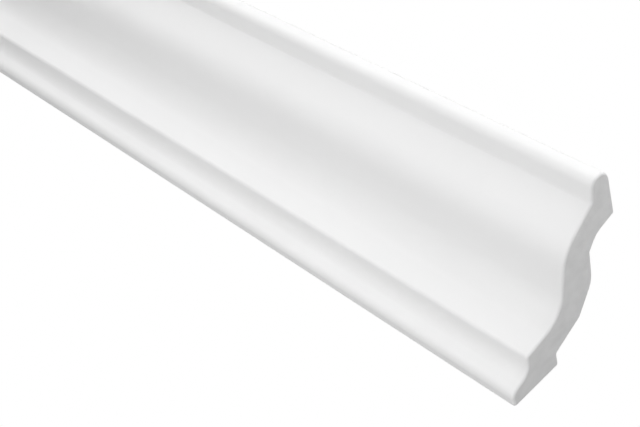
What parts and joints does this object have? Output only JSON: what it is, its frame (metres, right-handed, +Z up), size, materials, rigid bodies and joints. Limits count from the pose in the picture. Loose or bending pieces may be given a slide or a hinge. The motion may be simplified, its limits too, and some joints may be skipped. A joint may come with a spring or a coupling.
{
  "type": "crown moulding length",
  "caption": "Straight length of smooth white ogee crown moulding, square cut, with a flat land for the wall, a flat land for the ceiling and a relieved back.",
  "frame": {"origin": "middle of the land that lies on the wall, halfway along the length", "axes": "+X along the length, +Y out of the back into the wall, +Z up to the ceiling, so the room is on the -Y side"},
  "size_m": [0.6, 0.087, 0.0813],
  "materials": {
    "primed_white": "smooth matte white primer on moulded rigid foam"
  },
  "bodies": {
    "root": {"crown_moulding": "primed_white"}
  },
  "joints": []
}
